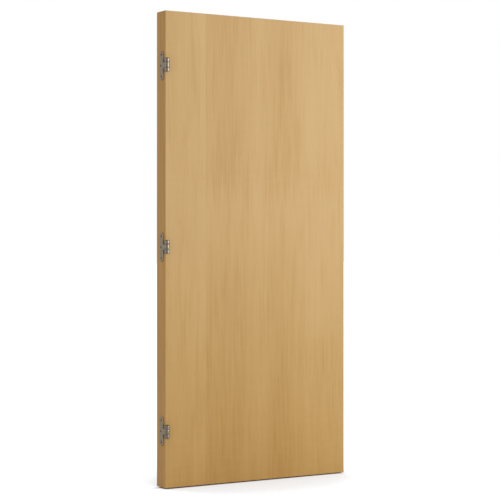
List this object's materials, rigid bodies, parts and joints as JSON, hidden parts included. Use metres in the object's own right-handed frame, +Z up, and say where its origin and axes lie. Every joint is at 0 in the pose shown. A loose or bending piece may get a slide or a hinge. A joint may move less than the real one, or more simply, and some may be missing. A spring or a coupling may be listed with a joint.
{
  "type": "flush door leaf with butt hinges",
  "caption": "Thick flush wood-veneered door leaf hung on heavy three-knuckle butt hinges with slim round-ended steel plates.",
  "frame": {"origin": "on the flat outer face of the middle frame wing, in the plane of the leaf's front face, at the middle hinge's centre height", "axes": "+X from the hinge edge to the closing edge, -Y towards the side that the leaf opens to, +Z up"},
  "size_m": [0.962, 0.1076, 2.1],
  "materials": {
    "face_veneer": "satin lacquer",
    "lipping": "satin lacquer",
    "stile_timber": "sawn",
    "core_board": "raw board",
    "hinge_steel": "satin",
    "pin_steel": "ground",
    "bearing_washer": "matt"
  },
  "bodies": {
    "frame_side": {"top_hinge_frame_wing": "hinge_steel", "top_hinge_washer": "bearing_washer", "middle_hinge_frame_wing": "hinge_steel", "middle_hinge_washer": "bearing_washer", "bottom_hinge_frame_wing": "hinge_steel", "bottom_hinge_washer": "bearing_washer"},
    "leaf": {"front_face_panel": "face_veneer", "back_face_panel": "face_veneer", "hinge_edge_lipping": "lipping", "closing_edge_lipping": "lipping", "top_lipping": "lipping", "bottom_lipping": "lipping", "hinge_stile": "stile_timber", "closing_stile": "stile_timber", "core": "core_board", "top_hinge_door_plate": "hinge_steel", "top_hinge_pin": "pin_steel", "middle_hinge_door_plate": "hinge_steel", "middle_hinge_pin": "pin_steel", "bottom_hinge_door_plate": "hinge_steel", "bottom_hinge_pin": "pin_steel"}
  },
  "joints": [
    {"name": "door_swing", "type": "hinge", "parent": "frame_side", "child": "leaf", "pos_m": [0.004, -0.0146, 0], "axis": [0, 0, -1], "range_deg": [0, 180]}
  ]
}
